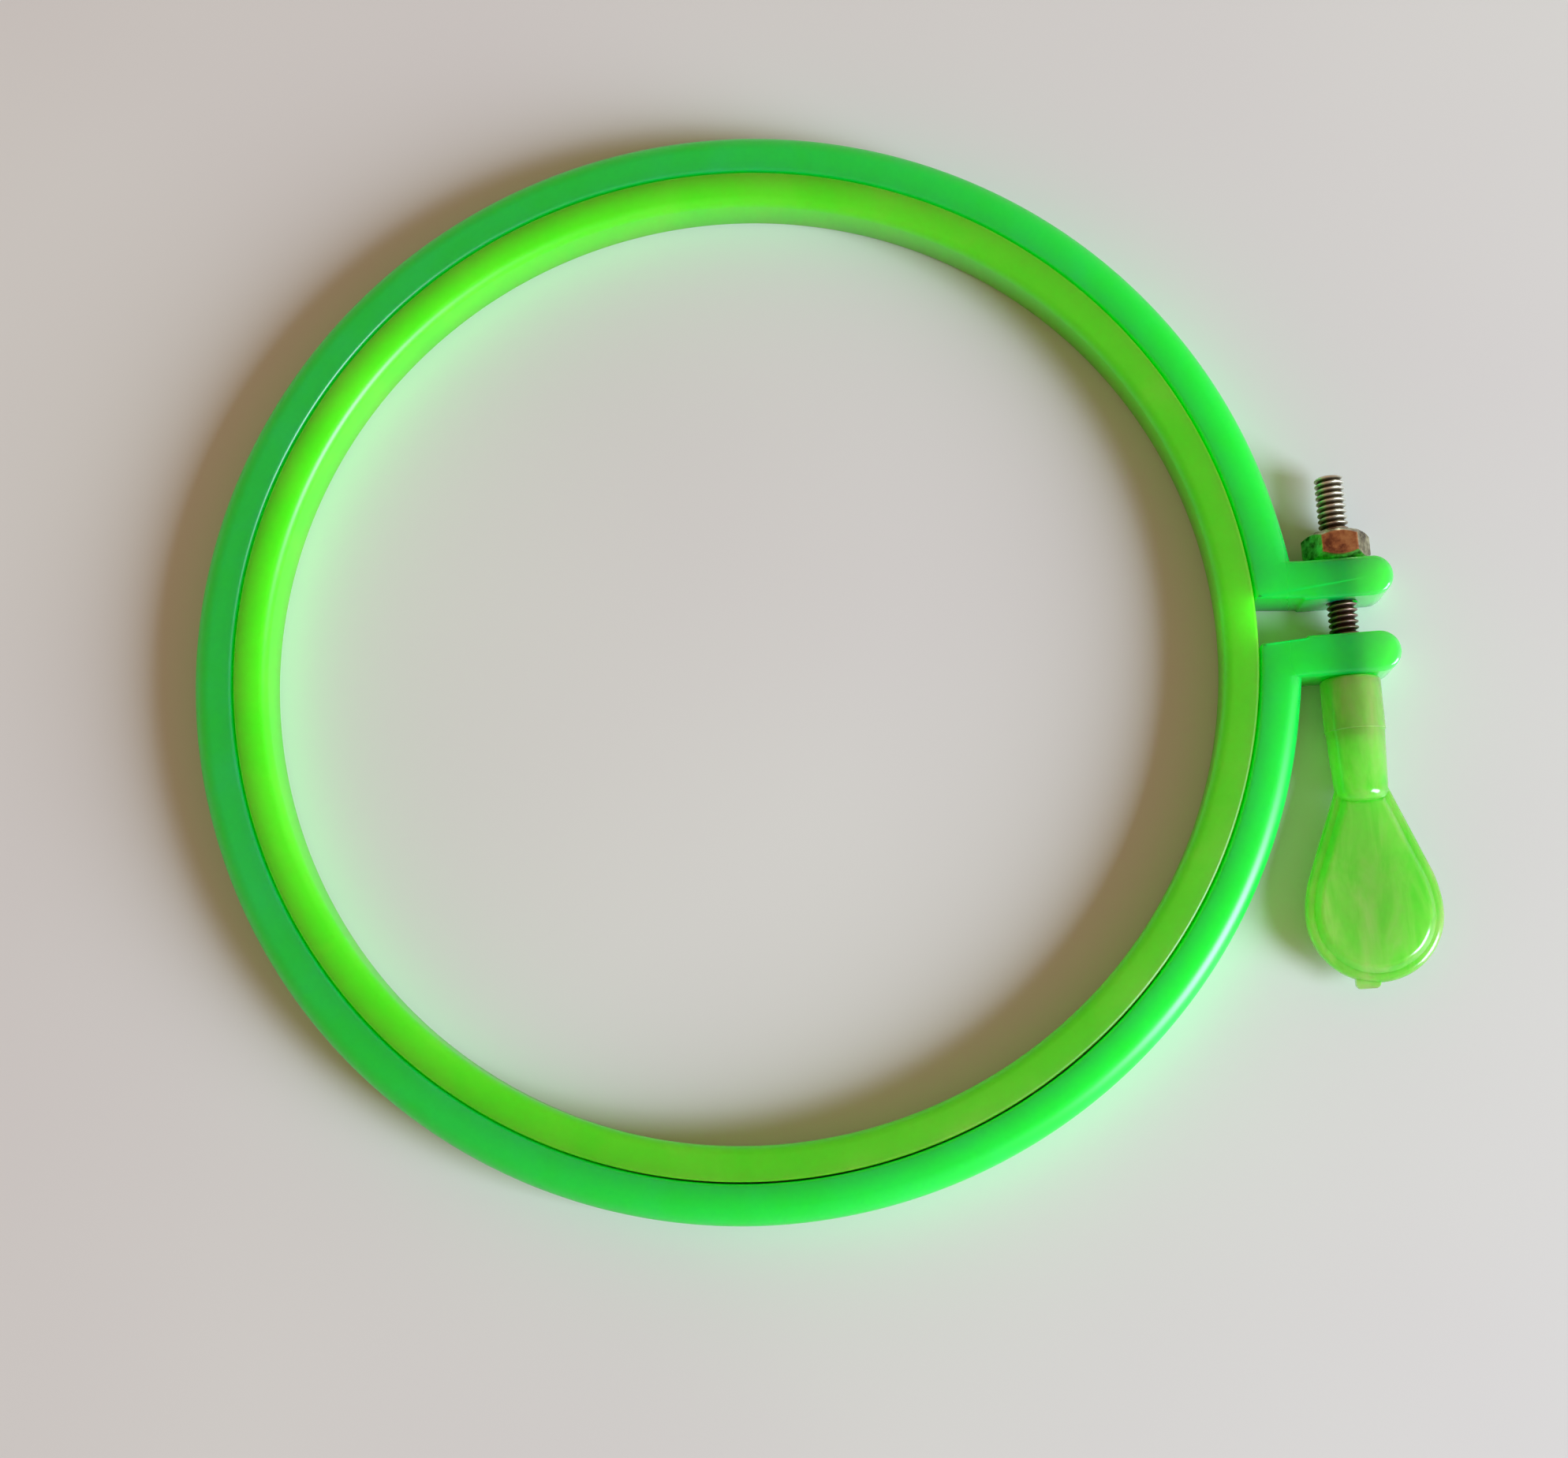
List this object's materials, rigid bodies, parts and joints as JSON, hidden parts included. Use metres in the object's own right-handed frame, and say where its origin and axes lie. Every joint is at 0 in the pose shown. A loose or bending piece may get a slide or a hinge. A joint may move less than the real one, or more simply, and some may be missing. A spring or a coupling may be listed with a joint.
{
  "type": "embroidery hoop",
  "caption": "Round embroidery hoop of clear plastic: a split outer hoop drawn round a closed inner hoop by a screw through its lugs, turned by a moulded thumb grip.",
  "frame": {"origin": "the middle of the opening: on the axis of the hoops, half way up them", "axes": "+Z along the axis of the hoops, +X through the split between the lugs, +Y along the screw towards its bare end"},
  "size_m": [0.1626, 0.1474, 0.0084],
  "materials": {
    "clear_yellow_green_plastic": "clear, gloss",
    "clear_green_plastic": "clear, gloss",
    "zinc_plated_steel": "zinc plated, dull",
    "tarnished_steel": "plated, tarnished",
    "clear_light_green_plastic": "clear, gloss"
  },
  "bodies": {
    "outer_hoop": {"outer_hoop": "clear_green_plastic"},
    "inner_hoop": {"inner_hoop": "clear_yellow_green_plastic"},
    "screw": {"clamp_screw": "zinc_plated_steel", "thumb_grip": "clear_light_green_plastic"},
    "nut": {"hex_nut": "tarnished_steel"}
  },
  "joints": [
    {"name": "screw_turn", "type": "hinge", "parent": "outer_hoop", "child": "screw", "pos_m": [0.08, 0, 0], "axis": [0, -1, 0], "range_deg": [0, 3250]},
    {"name": "nut_travel", "type": "slide", "parent": "outer_hoop", "child": "nut", "axis": [0, 1, 0], "range_m": [0, 0.00714]},
    {"name": "inner_hoop_lift", "type": "slide", "parent": "outer_hoop", "child": "inner_hoop", "axis": [0, 0, 1], "range_m": [0, 0.02]}
  ],
  "couplings": [
    {"joint": "screw_turn", "follows": "nut_travel", "rad_per_m": 7915.8}
  ]
}
